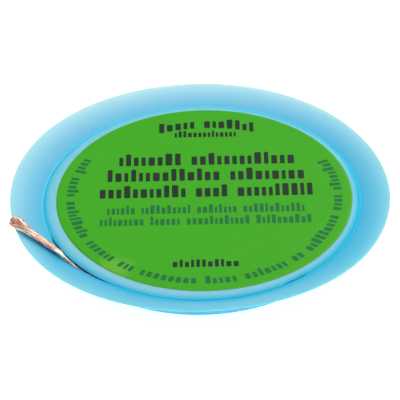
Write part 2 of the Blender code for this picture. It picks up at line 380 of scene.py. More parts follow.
class Material:
    """A node-built material round one Principled shader."""

    def __init__(self, name: str) -> None:
        """Starts a material with nothing linked.

        Args:
            name: Name of the material.
        """
        self.block = bpy.data.materials.new(name)
        self.block.use_nodes = True
        self.tree = self.block.node_tree
        self.shader = self.tree.nodes["Principled BSDF"]

    def feed(self, socket: bpy.types.NodeSocket, value: Any) -> None:
        """Links a signal to a socket, or sets a plain value on it.

        Args:
            socket: The socket.
            value: A signal, number, colour or vector.
        """
        if isinstance(value, Signal):
            self.tree.links.new(value.socket, socket)
        elif socket.type == "RGBA" and len(value) == 3:
            socket.default_value = (*value, 1.0)
        else:
            socket.default_value = value

    def node(
        self,
        kind: str,
        settings: Optional[dict[str, Any]] = None,
        sockets: Optional[dict[Union[str, int], Any]] = None,
        output: Union[str, int] = 0,
    ) -> Signal:
        """Adds a node: its settings first, then the values or links of its sockets.

        Args:
            kind: Type name of the node.
            settings: Attributes of the node, and "stops" for a ramp as (place, colour) pairs.
            sockets: Values or signals by socket name or number.
            output: The output that is handed back.

        Returns:
            The signal of that output.
        """
        made = self.tree.nodes.new(kind)
        for name, value in (settings or {}).items():
            if name == "stops":
                while len(made.color_ramp.elements) < len(value):
                    made.color_ramp.elements.new(0.5)
                for element, (place, colour) in zip(made.color_ramp.elements, value):
                    element.position = place
                    element.color = (*colour, 1.0)
            else:
                setattr(made, name, value)
        for key, value in (sockets or {}).items():
            self.feed(made.inputs[key], value)
        return Signal(self, made.outputs[output])

    def maths(self, operation: str, *values: Feed) -> Signal:
        """A Math node of that operation on one, two or three values."""
        return self.node("ShaderNodeMath", {"operation": operation}, dict(enumerate(values)))

    def mix(self, share: Feed, start: Any, end: Any) -> Signal:
        """A colour between start and end."""
        return self.node("ShaderNodeMix", {"data_type": "RGBA"}, {0: share, 6: start, 7: end}, output=2)

    def place(self) -> Signal:
        """Object coordinates."""
        return self.node("ShaderNodeTexCoord", output="Object")

    def tone(self, name: str) -> Signal:
        """The piece's own attribute of that name."""
        return self.node("ShaderNodeAttribute", {"attribute_name": name}, output="Fac")

    def axes(self) -> tuple[Signal, Signal, Signal]:
        """The x, y and z of Object coordinates, in metres."""
        node = self.node("ShaderNodeSeparateXYZ", None, {0: self.place()}).socket.node
        return tuple(Signal(self, node.outputs[i]) for i in range(3))

    def distance(self, x: Signal, y: Signal, centre: tuple[float, float] = (0.0, 0.0)) -> Signal:
        """Distance from a point of the x-y plane: the root of the sum of squares."""
        across, away = x - centre[0], y - centre[1]
        return (across * across + away * away) ** 0.5

    def noise(self, scale: float, detail: float = 2.0, rough: float = 0.5, where: Any = None) -> Signal:
        """Even noise between 0 and 1.

        Args:
            scale: Patches a metre.
            detail: Number of finer layers.
            rough: Strength of the finer layers.
            where: Coordinates, or none for Object coordinates.

        Returns:
            The noise.
        """
        sockets = {"Vector": where or self.place(), "Scale": scale, "Detail": detail, "Roughness": rough}
        return self.node("ShaderNodeTexNoise", None, sockets)

    def stretched(self, scale: tuple[float, float, float]) -> Signal:
        """Object coordinates scaled by that much along each axis."""
        return self.node("ShaderNodeMapping", None, {"Vector": self.place(), "Scale": scale})

    def bump(self, height: Signal, distance: float) -> Signal:
        """A Bump node: height of 1 stands up by distance in metres."""
        return self.node("ShaderNodeBump", None, {"Height": height, "Distance": distance, "Strength": 1.0})

    def finish(self, fixed: dict[str, Any], **varying: Signal) -> bpy.types.Material:
        """Sets the fixed sockets and links the varying ones.

        Args:
            fixed: Plain values by socket name.
            varying: Signals by socket name, with _ for a space.

        Returns:
            The finished material.
        """
        for name, value in fixed.items():
            self.feed(self.shader.inputs[name], value)
        for name, signal in varying.items():
            self.feed(self.shader.inputs[name.replace("_", " ")], signal)
        return self.block


@dataclass(frozen=True)
class SatinPlastic:
    """Soft translucent plastic: deep where walls meet, pale where the wall thins out, with painted sheen and
    a painted glow.

    Attributes:
        name: Name of the material.
        tones: Radius in metres and the colour there, from the axis outwards.
        pale: Colour of the faint flow marks.
        haze: Colour of the painted sheen, a whitish mix that stands in for the soft light's reflection.
        glow: Colour of the painted glow: light given off in the groove, standing in for light through the
            plastic.
        roughness: Middle roughness.
        cloud_scale: Soft clouds a metre.
        cloud_drift: How far the clouds move the colours along the radius.
        flow_share: Strength of the flow marks.
        ring_pace: Fine turning lines, in radians a metre.
        relief: Height of the grain in metres.
    """

    name: str
    tones: tuple[tuple[float, Colour], ...]
    pale: Colour = (0.30, 0.62, 0.78)
    haze: Colour = (0.88, 0.81, 0.77)
    glow: Colour = (0.0, 0.16, 0.15)
    roughness: float = 0.40
    cloud_scale: float = 160.0
    cloud_drift: float = 0.0005
    flow_share: float = 0.22
    ring_pace: float = 9000.0
    relief: float = 0.000012

    def build(self) -> bpy.types.Material:
        """Colour by radius, painted sheen and glow, soft clouding, flow marks, fine turning lines and grain.

        Returns:
            The plastic as a material.
        """
        m = Material(self.name)
        x, y, _ = m.axes()
        clouds = m.noise(self.cloud_scale, 3.0, 0.55)
        inner, outer = self.tones[0][0], self.tones[-1][0]
        drift = (m.tone("wall_tone") + (clouds - 0.5) * self.cloud_drift - inner) / (outer - inner)
        stops = [((place - inner) / (outer - inner), colour) for place, colour in self.tones]
        colour = m.node("ShaderNodeValToRGB", {"stops": stops}, {0: drift})
        # Painted sheen: the colour is mixed towards whitish by the sheen tone, in place of the soft light's
        # reflection.
        colour = m.mix(m.tone("haze"), colour, self.haze)
        flow = m.noise(90.0, 2.0, 0.5, m.stretched((1.0, 0.35, 4.0)))
        colour = m.mix((flow - 0.5).size() * self.flow_share, colour, self.pale)
        scuffs = m.noise(2600.0, 3.0, 0.7)
        rings = (m.distance(x, y) * self.ring_pace).sine() * 0.5 + 0.5
        height = scuffs * 0.7 + rings * 0.12 + clouds * 0.9
        rough = self.roughness + (clouds - 0.5) * 0.14 + (scuffs - 0.5) * 0.10
        return m.finish(
            {
                "Subsurface Weight": 0.55,
                "Subsurface Scale": 0.0011,
                "Subsurface Radius": (0.4, 0.8, 1.0),
                "Specular IOR Level": 0.32,
                "IOR": 1.49,
                "Emission Strength": 1.0,
            },
            Base_Color=colour,
            # Painted glow: emitted blue light near the groove, in place of light passing through the
            # plastic.
            Emission_Color=m.mix(m.tone("glow"), (0.0, 0.0, 0.0), self.glow),
            Roughness=rough,
            Normal=m.bump(height, self.relief),
        )


DISH_TONES = (
    (0.0180, (0.060, 0.480, 0.690)),
    (0.0204, (0.006, 0.420, 0.650)),
    (0.0209, (0.012, 0.440, 0.670)),
    (0.0213, (0.045, 0.475, 0.670)),
    (0.0226, (0.085, 0.505, 0.665)),
    (0.0236, (0.160, 0.550, 0.665)),
    (0.0241, (0.220, 0.580, 0.670)),
    (0.0245, (0.330, 0.640, 0.680)),
    (0.0249, (0.500, 0.710, 0.700)),
)
CAP_TONES = (
    (0.0190, (0.240, 0.620, 0.770)),
    (0.0197, (0.200, 0.600, 0.760)),
    (0.0201, (0.130, 0.590, 0.800)),
    (0.0203, (0.070, 0.550, 0.800)),
    (0.02050, (0.015, 0.520, 0.790)),
    (0.02067, (0.002, 0.490, 0.780)),
)


@dataclass(frozen=True)
class PrintedFilm:
    """Glossy label film with a painted glare, a paler yellow-green patch at one place of its edge.

    Attributes:
        name: Name of the material.
        green: Main colour.
        bright: Colour of the mottling.
        glare_and_cut_edge: Colour of the painted glare and of the pale cut edge.
        glare_at: Middle of the painted glare.
        glare_out: Radius past which the glare is gone.
        glare_in: Radius of its full middle.
        glare_wander: Unevenness of its edge.
        centre: Middle of the label.
        edge_in: Radius at which the pale cut edge starts.
        edge_out: Radius at which it is full.
        relief: Height of the film's grain in metres.
    """

    name: str = "green_label_film"
    green: Colour = (0.045, 0.400, 0.006)
    bright: Colour = (0.072, 0.450, 0.018)
    glare_and_cut_edge: Colour = (0.30, 0.60, 0.08)
    glare_at: tuple[float, float] = (-0.0110, -0.0145)
    glare_out: float = 0.0030
    glare_in: float = 0.0006
    glare_wander: float = 0.003
    centre: tuple[float, float] = (0.00045, 0.0)
    edge_in: float = 0.01922
    edge_out: float = 0.01934
    relief: float = 0.000010

    def build(self) -> bpy.types.Material:
        """Even green with faint mottling, a pale cut edge and a painted glare.

        Returns:
            The film as a material.
        """
        m = Material(self.name)
        x, y, _ = m.axes()
        mottle = m.noise(420.0, 4.0, 0.6)
        colour = m.mix((mottle - 0.35) * 0.55, self.green, self.bright)
        # Painted glare: a paler yellow-green patch near the lower-left edge, in place of light glancing off
        # the film.
        patch = m.distance(x, y, self.glare_at) + (m.noise(700.0, 3.0, 0.6) - 0.5) * self.glare_wander
        colour = m.mix(patch.ramp(self.glare_out, self.glare_in) * 0.30, colour, self.glare_and_cut_edge)
        cut_edge = m.distance(x, y, self.centre).ramp(self.edge_in, self.edge_out)
        colour = m.mix(cut_edge * 0.35, colour, self.glare_and_cut_edge)
        grain = m.noise(5200.0, 2.0, 0.6)
        waves = m.noise(120.0, 1.0, 0.4)
        return m.finish(
            {"Specular IOR Level": 0.18, "IOR": 1.5},
            Base_Color=colour,
            Roughness=0.38 + (grain - 0.5) * 0.16,
            Normal=m.bump(grain * 0.35 + waves, self.relief),
        )


@dataclass(frozen=True)
class PrintInk:
    """Printing ink on the label, a little uneven where it lies thin.

    Attributes:
        name: Name of the material.
        ink: Colour of full ink.
        thin: Colour of thin ink.
    """

    name: str
    ink: Colour
    thin: Colour

    def build(self) -> bpy.types.Material:
        """Mottled between full and thin ink, with a faint sheen.

        Returns:
            The ink as a material.
        """
        m = Material(self.name)
        cover = m.noise(2300.0, 4.0, 0.65)
        colour = m.mix(cover.ramp(0.45, 0.80) * 0.8, self.ink, self.thin)
        return m.finish(
            {"Specular IOR Level": 0.26, "IOR": 1.5},
            Base_Color=colour,
            Roughness=0.42 + (cover - 0.5) * 0.2,
            Normal=m.bump(cover, 0.000006),
        )


@dataclass(frozen=True)
class BraidCopper:
    """Bright copper wire: each wire has its own tone, and the places between and under wires carry painted
    shade.

    Attributes:
        name: Name of the material.
        bright: Colour of the palest wires, near white: their own pale tone with a painted highlight.
        body: Colour of the others.
        dark: Colour of the painted shade between and under wires, and of the dark streaks.
        roughness: Middle roughness.
    """

    name: str
    bright: Colour = (1.0, 0.93, 0.83)
    body: Colour = (0.97, 0.55, 0.38)
    dark: Colour = (0.36, 0.10, 0.045)
    roughness: float = 0.24

    def build(self) -> bpy.types.Material:
        """Tone by wire, painted shade by depth under other wires, streaks and fine drawing lines.

        Returns:
            The wire as a material.
        """
        m = Material(self.name)
        wire, depth = m.tone("wire_tone"), m.tone("depth_tone")
        streaks = m.noise(900.0, 3.0, 0.6)
        # Partly painted highlight: the palest wire tone is near white, in place of the light's glints on the
        # bundles.
        colour = m.mix(wire.ramp(0.30, 0.72), self.body, self.bright)
        colour = m.mix(streaks.ramp(0.52, 0.74) * 0.45, colour, self.dark)
        # Painted shade: mixed towards dark where a wire runs under others or the coil's edge dips.
        colour = m.mix(depth.ramp(0.05, 1.0), colour, self.dark)
        fine = m.noise(9000.0, 2.0, 0.6)
        return m.finish(
            {"Metallic": 1.0},
            Base_Color=colour,
            Roughness=self.roughness + (streaks - 0.5) * 0.2 + depth * 0.25,
            Normal=m.bump(fine, 0.000003),
        )


@dataclass(frozen=True)
class PaleFloor:
    """The white surface under the object.

    Attributes:
        name: Name of the material.
        white: Its colour.
        shade: Colour of its faint mottle.
        glow: Strength of its own light.
    """

    name: str = "studio_floor"
    white: Colour = (0.96, 0.96, 0.96)
    shade: Colour = (0.94, 0.94, 0.945)
    glow: float = 0.85

    def build(self) -> bpy.types.Material:
        """Near white with a faint mottle, and lit from within so that it stays white.

        Returns:
            The floor as a material.
        """
        m = Material(self.name)
        colour = m.mix(m.noise(30.0, 2.0), self.white, self.shade)
        lit = {"Emission Color": self.white, "Emission Strength": self.glow}
        return m.finish({"Roughness": 0.9, "Specular IOR Level": 0.1, **lit}, Base_Color=colour)


# The spool's sizes


@dataclass(frozen=True)
class SpoolShape:
    """The part's own sizes, in metres, and the bends of its dish."""

    braid_width: float = 0.0022
    braid_thickness: float = 0.00045
    braid_length: float = 1.5
    turn_slack: float = 0.00002
    floor: float = 0.00065
    wall: float = 0.00065
    cap: float = 0.00065
    hub: float = 0.0100
    hub_wall: float = 0.0008
    wall_run: float = 0.00185
    bottom_round: float = 0.00025
    flange: float = 0.0040
    flange_rise: float = 0.00105
    rim_thickness: float = 0.00030
    shoulder_run: float = 0.0012
    shoulder_drop: float = 0.00034
    spigot_length: float = 0.0018
    spigot_wall: float = 0.0008
    label_thickness: float = 0.0001
    label_margin: float = 0.0013
    label_shift: float = 0.00054
    seat_gap: float = 0.0001
    groove_gap: float = 0.0002
    glue_gap: float = 0.00003
    lead_room: float = 0.0005
    lift: float = 0.00080
    lift_angle: float = math.radians(278)
    lift_left: float = math.radians(75)
    lift_right: float = math.radians(55)
    push: float = 0.00072
    push_angle: float = math.radians(211.9)
    push_span: float = math.radians(13.0)
    slit: float = 0.00018
    slit_angle: float = math.radians(223)
    slit_span: float = math.radians(12)
    lip_shift: float = 0.00015
    rim_wide: float = 0.00030
    rim_wide_angle: float = math.radians(140)
    rim_wide_span: float = math.radians(45)
    rim_narrow: float = 0.00013
    rim_narrow_angle: float = math.radians(25)
    rim_narrow_span: float = math.radians(35)

    @property
    def coil_inner(self) -> float:
        """Inner radius of the wound braid."""
        return self.hub + self.seat_gap

    @property
    def coil_outer(self) -> float:
        """Outer radius: the annulus area is the braid's length times its pitch."""
        pitch = self.braid_thickness + self.turn_slack
        return math.sqrt(self.coil_inner**2 + self.braid_length * pitch / math.pi)

    @property
    def foot(self) -> float:
        """Radius of the chamber's foot."""
        return self.coil_outer + self.braid_thickness + self.lead_room

    @property
    def lip(self) -> float:
        """Radius of the dish's lip."""
        return self.foot + self.wall_run

    @property
    def cap_radius(self) -> float:
        """Radius of the cap."""
        return self.lip - self.groove_gap

    @property
    def rim(self) -> float:
        """Radius of the flange's rim."""
        return self.lip + self.flange

    @property
    def label_radius(self) -> float:
        """Radius of the label."""
        return self.cap_radius - self.label_margin

    @property
    def coil_bottom(self) -> float:
        """Height of the coil's lower end."""
        return self.floor + self.seat_gap

    @property
    def coil_top(self) -> float:
        """Height of the coil's upper end."""
        return self.coil_bottom + self.braid_width

    @property
    def cap_under(self) -> float:
        """Height of the cap's under side."""
        return self.coil_top + self.seat_gap

    @property
    def cap_top(self) -> float:
        """Height of the cap's flat top."""
        return self.cap_under + self.cap

    @property
    def lip_height(self) -> float:
        """Height of the lip, level with the cap's edge."""
        return self.cap_top - self.shoulder_drop

    @property
    def label_top(self) -> float:
        """Height of the label's upper side."""
        return self.cap_top + self.glue_gap + self.label_thickness

    def shoulder(self, share: Any) -> Any:
        """Height of the cap's shoulder where its radius has grown by run sin(share): edge + drop cos^1.5."""
        return self.lip_height + self.shoulder_drop * np.cos(share) ** 1.5

    def wall_line(self, height: Any) -> Any:
        """Radius of the wall's inner side at a height: foot + run (height - floor) / rise."""
        return self.foot + self.wall_run * (height - self.floor) / (self.lip_height - self.floor)

    def exit_push(self, angle: Any) -> Any:
        """How far the lip is pushed outwards: a bulge under the braid and a thin slit beside it."""
        bulge = swell(angle, self.push_angle, self.push_span)
        return self.push * bulge + self.slit * swell(angle, self.slit_angle, self.slit_span)

    def rim_lift(self, angle: Any) -> Any:
        """How far the rim is bent up: one soft hill."""
        return self.lift * swell(angle, self.lift_angle, self.lift_left, self.lift_right)

    def rim_drift(self, angle: Any) -> Any:
        """How much wider the rim is than a circle: a wide place at one side, a narrow one at another."""
        wide = self.rim_wide * swell(angle, self.rim_wide_angle, self.rim_wide_span)
        return wide - self.rim_narrow * swell(angle, self.rim_narrow_angle, self.rim_narrow_span)

    def bent(self, places: np.ndarray) -> np.ndarray:
        """Places of the round dish, moved to where the bent dish has them.

        Past the foot the radius grows by the push, which climbs with the wall and fades out over the
        flange, and by the rim's drift, which grows over the flange. The lip stands a little to one side,
        and the flange is raised by the lift times its share of the flange to the power 1.5.

        Args:
            places: Rows of x, y, z.

        Returns:
            The moved rows.
        """
        radius = np.maximum(np.hypot(places[:, 0], places[:, 1]), 1e-9)
        angle = np.arctan2(places[:, 1], places[:, 0])
        climb = smooth((places[:, 2] - self.floor) / (self.lip_height - self.floor))
        outwards = clamp((radius - self.lip) / self.flange)
        past = radius >= self.foot
        at_lip = np.where(past, climb * (1 - outwards), 0)
        push = self.exit_push(angle) * at_lip + np.where(past, self.rim_drift(angle) * outwards, 0)
        lift = np.where(past, self.rim_lift(angle) * outwards**1.5, 0)
        x, y = places[:, 0], places[:, 1]
        grown = (radius + push) / radius
        return np.stack([x * grown + self.lip_shift * at_lip, y * grown, places[:, 2] + lift], 1)


# Pieces


@dataclass
class Piece:
    """A finished mesh with its material, its slot and the node it stands for, if any."""

    name: str
    surface: Surface
    material: bpy.types.Material
    slot: str
    node: Optional[str] = None

    def place(self) -> bpy.types.Object:
        """Puts the piece into the scene and ties it to the frame.

        Returns:
            The new object.
        """
        obj = self.surface.to_object(self.name)
        obj.data.materials.append(self.material)
        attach(obj, "root")
        if self.node:
            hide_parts(self.node)
        log.info("%s: %d triangles", self.name, len(self.surface.all_triangles()))
        return obj


@dataclass
class DishShell:
    """The wide dish: hub, chamber, sloped wall, lip and the thin flange, bent as the real one is.

    Attributes:
        shape: Sizes of the spool.
        segments: Steps round the axis.
        hub_fillet: Rounding of the hub's edges.
        foot_fillet: Rounding at the wall's foot.
        lip_round: Rounding of the lip.
        knee_round: Rounding where the flange meets the wall below.
        small_round: Rounding of the steps under the bottom.
        stand_radius: Inner radius of the ring that the dish stands on.
        recess: Depth of the round recess inside it.
        step_run: Radius taken by a step of the recess.
        gate_radius: Radius of the moulding's gate mark.
        gate_depth: How far the mark stays above the floor.
        front_angle: Bearing of the painted shade that keeps the front flange deep.
        front_shade: How much further out the painted shade keeps the front deep.
        front_shade_step: How far its colours move in at the lip.
        front_power: Sharpness of the painted front shade.
        haze_angle: Bearing of the strongest painted sheen.
        haze_gain: Strength of the painted sheen there.
        haze_power: Sharpness of the painted sheen.
        haze_lip: Painted sheen at the lip.
        haze_slope: Growth of the painted sheen, a metre past the lip.
        painted_highlight: Strength of the painted highlight band, in the middle of the front flange.
        highlight_angle: Its bearing.
        highlight_left: Its span on one side.
        highlight_right: Its span on the other.
        highlight_in: How far past the lip it is full.
        highlight_far: How far past the lip it starts to fade.
        highlight_out: In how much radius it fades.
        glow_run: How far past the lip the painted glow reaches.
        slit_shade: Share of the painted glow that is taken away at the slit.
        ledge_low: Share of the wall at which the ledge below the cap's edge starts.
        ledge_gap: Room between the ledge and the cap's edge.
        ledge_depth: How far the ledge lies below the lip.
        ledge_thick: Height of its edge.
        ledge_from: Bearing at which the ledge starts to fade out under the braid.
        ledge_to: Bearing at which it is back.
        ledge_fade: Turn in which it fades.
    """

    shape: SpoolShape
    segments: int = 360
    hub_fillet: float = 0.00012
    foot_fillet: float = 0.00018
    lip_round: float = 0.00012
    knee_round: float = 0.0003
    small_round: float = 0.00005
    stand_radius: float = 0.0166
    recess: float = 0.00012
    step_run: float = 0.0002
    gate_radius: float = 0.0012
    gate_depth: float = 0.00003
    front_angle: float = math.radians(262)
    front_shade: float = 0.22
    front_shade_step: float = 0.00016
    front_power: float = 1.2
    haze_angle: float = math.radians(105)
    haze_gain: float = 1.22
    haze_power: float = 1.35
    haze_lip: float = 0.08
    haze_slope: float = 55.0
    painted_highlight: float = 0.12
    highlight_angle: float = math.radians(285)
    highlight_left: float = math.radians(75)
    highlight_right: float = math.radians(45)
    highlight_in: float = 0.0012
    highlight_far: float = 0.0026
    highlight_out: float = 0.0014
    glow_run: float = 0.00016
    slit_shade: float = 0.85
    ledge_low: float = 0.84
    ledge_gap: float = 0.000015
    ledge_depth: float = 0.00012
    ledge_thick: float = 0.00005
    ledge_from: float = math.radians(197)
    ledge_to: float = math.radians(238)
    ledge_fade: float = 0.12

    def outline(self) -> np.ndarray:
        """Upper side from the axis to the rim, then the under side back to the axis.

        The wall and the flange are straight in section. Below the cap's edge the wall steps in to a narrow
        ledge, whose edge follows the cap's leaning face.

        Returns:
            Rows of radius and height.
        """
        s = self.shape
        hub_in, hub_top = s.hub - s.hub_wall, s.cap_under - s.seat_gap
        rise, run = s.lip_height - s.floor, s.lip - s.foot
        across = s.wall / math.hypot(run, rise)
        rim_top = s.lip_height + s.flange_rise
        rim_round = s.rim_thickness / 2 * 0.85
        ledge_top = s.lip_height - self.ledge_depth
        ledge = s.cap_radius - run / rise * (self.ledge_depth + self.ledge_thick) + self.ledge_gap
        wall_end = blend(s.floor, s.lip_height, self.ledge_low)
        table = np.array(
            [
                (0, s.floor, 0),
                (hub_in, s.floor, self.hub_fillet),
                (hub_in, hub_top, self.hub_fillet),
                (s.hub, hub_top, self.hub_fillet),
                (s.hub, s.floor, self.hub_fillet),
                (s.foot, s.floor, self.foot_fillet),
                (s.wall_line(wall_end), wall_end, 0.00002),
                (ledge, ledge_top - self.ledge_thick, 0.00001),
                (ledge + run / rise * self.ledge_thick, ledge_top, 0.00002),
                (s.lip, s.lip_height, self.lip_round),
                (s.rim, rim_top, rim_round),
                (s.rim, rim_top - s.rim_thickness, rim_round),
                (s.lip + rise * across, s.lip_height - run * across, self.knee_round),
                (s.foot + s.wall, 0, s.bottom_round),
                (self.stand_radius, 0, 0.00004),
                (self.stand_radius - self.step_run, self.recess, self.small_round),
                (self.gate_radius + self.step_run, self.recess, self.small_round),
                (self.gate_radius, self.gate_depth, self.small_round),
                (0, self.gate_depth, 0),
            ]
        )
        return rounded_outline(table[:, :2], table[:, 2], 6, 7)

    def build(self, material: bpy.types.Material) -> Piece:
        """The turned outline, cleared for the braid and bent as the dish is.

        Args:
            material: The dish's plastic.

        Returns:
            The piece.
        """
        surface = turned(self.outline(), self.segments)
        flat = self.cleared(surface.places)
        radius, angle = np.hypot(flat[:, 0], flat[:, 1]), np.arctan2(flat[:, 1], flat[:, 0])
        surface.tones = self.tones(radius, angle, flat[:, 2])
        surface.places = self.shape.bent(flat)
        return Piece("dish_shell", surface, material, "blue_plastic", "spool_dish")

    def cleared(self, places: np.ndarray) -> np.ndarray:
        """The places with the ledge below the cap's edge taken back into the wall where the braid comes up.

        A corner above the coil and inside the wall's line moves out to it there.

        Args:
            places: Rows of x, y, z of the round dish.

        Returns:
            The moved rows.
        """
        s = self.shape
        radius = np.maximum(np.hypot(places[:, 0], places[:, 1]), 1e-9)
        angle = np.arctan2(places[:, 1], places[:, 0]) % (2 * math.pi)
        opening = smooth((angle - self.ledge_from) / self.ledge_fade)
        opening = opening * smooth((self.ledge_to - angle) / self.ledge_fade)
        on_wall = (radius > s.foot + s.wall_run / 2) & (places[:, 2] > s.coil_top)
        inside = np.where(on_wall, s.wall_line(places[:, 2]) - radius, 0)
        grown = 1 + np.maximum(inside, 0) * opening / radius
        return np.stack([places[:, 0] * grown, places[:, 1] * grown, places[:, 2]], 1)

    def tones(self, radius: np.ndarray, angle: np.ndarray, height: np.ndarray) -> dict[str, np.ndarray]:
        """How deep the plastic is, with painted shade, painted sheen and painted glow.

        The depth goes by radius, and the front is kept deep further out as painted shade. A painted sheen
        grows over the flange at the back, a painted highlight band lies in its middle at the front, and the
        painted glow lies on the upper side near the lip, dimmed at the slit.

        Args:
            radius: Distance from the axis at each corner, before bending.
            angle: Bearing of each corner.
            height: Height of each corner.

        Returns:
            The values of wall_tone, haze and glow.
        """
        s = self.shape
        past = np.maximum(radius - s.lip, 0)
        # Painted shade: the front flange is kept deep in colour by bearing.
        front = (0.5 + 0.5 * np.cos(angle - self.front_angle)) ** self.front_power
        # Painted sheen towards the back, and a painted highlight band in the middle of the front flange.
        back = self.haze_gain * (0.5 + 0.5 * np.cos(angle - self.haze_angle)) ** self.haze_power
        middle = smooth(past / self.highlight_in) * (1 - smooth((past - self.highlight_far) / self.highlight_out))
        painted_highlight = self.painted_highlight * swell(angle, self.highlight_angle, self.highlight_left, self.highlight_right)
        wall = s.floor + (s.lip_height - s.floor) * (radius - s.foot) / s.wall_run
        # Painted glow: on the upper side near the lip, dimmed at the slit.
        upper = smooth((height - np.minimum(wall, s.lip_height) + 0.0005) / 0.0003)
        shaded = 1 - self.slit_shade * swell(angle, s.slit_angle, s.slit_span)
        near_lip = smooth((radius - s.lip + 0.0009) / 0.0005) * (1 - smooth(past / self.glow_run))
        return {
            "wall_tone": radius - past * self.front_shade * front - self.front_shade_step * front,
            "haze": back * (self.haze_lip + self.haze_slope * past) + painted_highlight * middle,
            "glow": upper * near_lip * shaded,
        }


@dataclass
class CapShell:
    """The cap disc: flat top, soft shoulder, thin edge and the spigot that plugs into the hub.

    Attributes:
        shape: Sizes of the spool.
        segments: Steps round the axis.
        small_round: Rounding of the edge.
        spigot_round: Rounding of the spigot.
        spigot_end_round: Rounding of its lower end.
        nick_from: Bearing at which the nick in the edge starts.
        nick_to: Bearing at which it ends.
        nick_depth: How far the edge is drawn in.
        front_sheen: Painted sheen at the front edge.
        front_reach: Distance of the front edge from the axis.
        glow_from: How far inside the edge the painted glow starts.
        glow_run: In how much radius it is full.
        slit_shade: Share of the painted glow that is taken away at the slit.
    """

    shape: SpoolShape
    segments: int = 720
    small_round: float = 0.00005
    spigot_round: float = 0.00010
    spigot_end_round: float = 0.00015
    nick_from: float = math.radians(298.6)
    nick_to: float = math.radians(309.6)
    nick_depth: float = 0.00013
    front_sheen: float = 0.06
    front_reach: float = 0.019
    glow_from: float = 0.00010
    glow_run: float = 0.00009
    slit_shade: float = 0.85

    def outline(self) -> np.ndarray:
        """The flat top, the shoulder with its radius grown by run sin(share), then the under side.

        Returns:
            Rows of radius and height.
        """
        s = self.shape
        flat = s.cap_radius - s.shoulder_run
        share = np.linspace(0.04, 0.96, 14) * math.pi / 2
        shoulder = np.stack([flat + s.shoulder_run * np.sin(share), s.shoulder(share)], 1)
        lean = s.lip - s.wall_line(s.cap_under)
        spigot = s.hub - s.hub_wall - s.seat_gap
        low = s.cap_under - s.spigot_length
        table = np.array(
            [
                (*shoulder[-1], 0),
                (s.cap_radius, s.lip_height, self.small_round),
                (s.cap_radius - lean, s.cap_under, self.small_round),
                (spigot, s.cap_under, self.spigot_round),
                (spigot, low, self.spigot_end_round),
                (spigot - s.spigot_wall, low, self.spigot_round),
                (spigot - s.spigot_wall, s.cap_under, self.spigot_round),
                (0, s.cap_under, 0),
            ]
        )
        under = rounded_outline(table[:, :2], table[:, 2], 5, 6)
        top = np.stack([np.linspace(0, flat, 8), np.full(8, s.cap_top)], 1)
        return np.concatenate([top, shoulder[:-1], under])

    def build(self, material: bpy.types.Material) -> Piece:
        """The turned outline, its edge drawn in a little at the nick and moved with the dish's lip.

        Args:
            material: The cap's plastic.

        Returns:
            The piece.
        """
        surface = turned(self.outline(), self.segments)
        places = surface.places
        radius = np.maximum(np.hypot(places[:, 0], places[:, 1]), 1e-9)
        s = self.shape
        angle = np.arctan2(places[:, 1], places[:, 0]) % (2 * math.pi)
        shaded = 1 - self.slit_shade * swell(angle, s.slit_angle, s.slit_span)
        # Painted sheen: paler towards the front edge. Painted glow: emitted light at the edge, dimmed at the
        # slit.
        surface.tones = {
            "wall_tone": radius,
            "haze": self.front_sheen * clamp(-places[:, 1] / self.front_reach),
            "glow": shaded * smooth((radius - s.cap_radius + self.glow_from) / self.glow_run),
        }
        opening = smooth((angle - self.nick_from) / 0.05) * smooth((self.nick_to - angle) / 0.010)
        near_edge = smooth((radius - s.cap_radius + 0.0006) / 0.0005)
        places[:, :2] *= ((radius - self.nick_depth * opening * near_edge) / radius)[:, None]
        places[:, 0] += s.lip_shift * smooth((radius - s.hub) / s.hub * 2)
        return Piece("cap_shell", surface, material, "pale_blue_plastic", "cap_disc")


@dataclass
class LabelDisc:
    """The round label, laid on the cap and bent down with its shoulder at one side.

    Attributes:
        shape: Sizes of the spool.
        segments: Steps round the axis.
        edge_slope: Radius that the edge's slope takes.
        glue_line: Room left for the glue.
    """

    shape: SpoolShape
    segments: int = 240
    edge_slope: float = 0.00016
    glue_line: float = 0.000006

    def cap_surface(self, radius: Any) -> Any:
        """Height of the cap's top at a radius: the shoulder at arcsin((radius - flat) / run)."""
        s = self.shape
        return s.shoulder(np.arcsin(clamp((radius - s.cap_radius + s.shoulder_run) / s.shoulder_run)))

    def height(self, x: Any, y: Any) -> Any:
        """Height of the label's upper side at a place, half as bent as the cap below it."""
        s = self.shape
        return s.label_top - 0.5 * (s.cap_top - self.cap_surface(np.hypot(x, y)))

    def build(self, material: bpy.types.Material) -> Piece:
        """A thin turned disc with rounded edges, moved to its place and laid on the cap.

        Args:
            material: The label's film.

        Returns:
            The piece.
        """
        s = self.shape
        low, high = s.cap_top + self.glue_line, s.label_top
        table = np.array(
            [
                (0, high, 0),
                (s.label_radius - self.edge_slope, high, 0.00008),
                (s.label_radius, low + 0.00002, 0.00001),
                (s.label_radius, low, 0.000005),
                (0, low, 0),
            ]
        )
        surface = turned(rounded_outline(table[:, :2], table[:, 2], 4, 7), self.segments)
        surface.places[:, 0] += s.label_shift
        x, y = surface.places[:, 0], surface.places[:, 1]
        surface.places[:, 2] += self.height(x, y) - s.label_top
        return Piece("label_disc", surface, material, "green_label", "label")


class RowInk(Enum):
    """Which ink a row of the print has."""

    DARK = "dark"
    GREEN = "green"


@dataclass(frozen=True)
class PrintRow:
    """A straight or bowed row of plain bars on the label.

    Attributes:
        ink: The ink of the row.
        middle: Height of the row's middle on the label, from the label's centre.
        start: Left end of the row.
        end: Right end of the row.
        height: Tallest bar of the row.
        words: Number of bars in each group.
        bow: How far both ends lie below the middle.
    """

    ink: RowInk
    middle: float
    start: float
    end: float
    height: float
    words: tuple[int, ...]
    bow: float = 0.0


